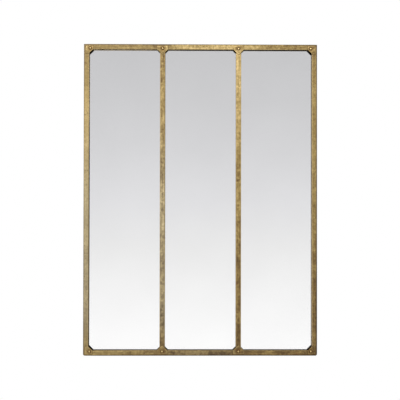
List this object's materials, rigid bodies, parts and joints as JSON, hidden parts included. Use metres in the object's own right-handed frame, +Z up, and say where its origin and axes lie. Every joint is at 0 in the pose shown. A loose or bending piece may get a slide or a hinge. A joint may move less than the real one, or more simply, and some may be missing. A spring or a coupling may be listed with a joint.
{
  "type": "wall mirror",
  "caption": "Tall window-style wall mirror: riveted flat-tube metal frame with upright bars, recessed mirror panes, a backing board held by turn buttons, and hanger rings.",
  "frame": {"origin": "on the wall plane, midway between the two hooks that carry the hanger rings; that is 4 mm under the frame's top edge and 6 mm behind the frame's back", "axes": "+Z up, +X to the right of someone who faces the mirror, +Y into the wall, so the mirror faces -Y"},
  "size_m": [0.9, 0.0324, 1.2],
  "materials": {
    "frame_metal": "antique brass patina on welded steel tube, brown in the recesses, worn bright on the edges",
    "gusset_plate": "antique brass patina on sheet steel",
    "rivet": "aged brass dome rivets",
    "mirror_glass": "plain silvered float glass with a painted grey back",
    "foam_tape": "closed-cell foam tape",
    "setting_block": "moulded, matte",
    "backing_board": "bare medium-density fibreboard",
    "zinc_hardware": "bright zinc plating",
    "wall_bumper": "moulded, matte"
  },
  "bodies": {
    "frame": {"left_stile": "frame_metal", "right_stile": "frame_metal", "top_rail": "frame_metal", "bottom_rail": "frame_metal", "left_rebate_tube": "frame_metal", "right_rebate_tube": "frame_metal", "top_rebate_tube": "frame_metal", "bottom_rebate_tube": "frame_metal", "left_mullion": "frame_metal", "right_mullion": "frame_metal", "left_divider_strip": "frame_metal", "right_divider_strip": "frame_metal", "left_mirror_pane": "mirror_glass", "centre_mirror_pane": "mirror_glass", "right_mirror_pane": "mirror_glass", "left_glazing_tape": "foam_tape", "centre_glazing_tape": "foam_tape", "right_glazing_tape": "foam_tape", "setting_blocks": "setting_block", "backing_board": "backing_board", "top_left_corner_plate": "gusset_plate", "top_right_corner_plate": "gusset_plate", "bottom_left_corner_plate": "gusset_plate", "bottom_right_corner_plate": "gusset_plate", "top_left_tee_plate": "gusset_plate", "top_right_tee_plate": "gusset_plate", "bottom_left_tee_plate": "gusset_plate", "bottom_right_tee_plate": "gusset_plate", "corner_rivets": "rivet", "tee_rivets": "rivet", "turn_button_screws": "zinc_hardware", "left_hanger_plate": "zinc_hardware", "right_hanger_plate": "zinc_hardware", "hanger_screws": "zinc_hardware", "top_left_bumper": "wall_bumper", "top_right_bumper": "wall_bumper", "bottom_left_bumper": "wall_bumper", "bottom_right_bumper": "wall_bumper"},
    "left_upper_button": {"left_upper_button": "zinc_hardware"},
    "left_lower_button": {"left_lower_button": "zinc_hardware"},
    "right_upper_button": {"right_upper_button": "zinc_hardware"},
    "right_lower_button": {"right_lower_button": "zinc_hardware"},
    "top_left_button": {"top_left_button": "zinc_hardware"},
    "top_right_button": {"top_right_button": "zinc_hardware"},
    "bottom_left_button": {"bottom_left_button": "zinc_hardware"},
    "bottom_right_button": {"bottom_right_button": "zinc_hardware"},
    "left_hanger_ring": {"left_hanger_ring": "zinc_hardware"},
    "right_hanger_ring": {"right_hanger_ring": "zinc_hardware"}
  },
  "joints": [
    {"name": "left_upper_button_turn", "type": "hinge", "parent": "frame", "child": "left_upper_button", "pos_m": [-0.4425, -0.00505, -0.296], "axis": [0, 1, 0], "continuous": true},
    {"name": "left_lower_button_turn", "type": "hinge", "parent": "frame", "child": "left_lower_button", "pos_m": [-0.4425, -0.00505, -0.896], "axis": [0, 1, 0], "continuous": true},
    {"name": "right_upper_button_turn", "type": "hinge", "parent": "frame", "child": "right_upper_button", "pos_m": [0.4425, -0.00505, -0.296], "axis": [0, 1, 0], "continuous": true},
    {"name": "right_lower_button_turn", "type": "hinge", "parent": "frame", "child": "right_lower_button", "pos_m": [0.4425, -0.00505, -0.896], "axis": [0, 1, 0], "continuous": true},
    {"name": "top_left_button_turn", "type": "hinge", "parent": "frame", "child": "top_left_button", "pos_m": [-0.14667, -0.00505, -0.0035], "axis": [0, 1, 0], "continuous": true},
    {"name": "top_right_button_turn", "type": "hinge", "parent": "frame", "child": "top_right_button", "pos_m": [0.14667, -0.00505, -0.0035], "axis": [0, 1, 0], "continuous": true},
    {"name": "bottom_left_button_turn", "type": "hinge", "parent": "frame", "child": "bottom_left_button", "pos_m": [-0.14667, -0.00505, -1.1885], "axis": [0, 1, 0], "continuous": true},
    {"name": "bottom_right_button_turn", "type": "hinge", "parent": "frame", "child": "bottom_right_button", "pos_m": [0.14667, -0.00505, -1.1885], "axis": [0, 1, 0], "continuous": true},
    {"name": "left_hanger_ring_swing", "type": "hinge", "parent": "frame", "child": "left_hanger_ring", "pos_m": [-0.3, -0.003, -0.014], "axis": [1, 0, 0], "range_deg": [0, 180]},
    {"name": "right_hanger_ring_swing", "type": "hinge", "parent": "frame", "child": "right_hanger_ring", "pos_m": [0.3, -0.003, -0.014], "axis": [1, 0, 0], "range_deg": [0, 180]}
  ]
}
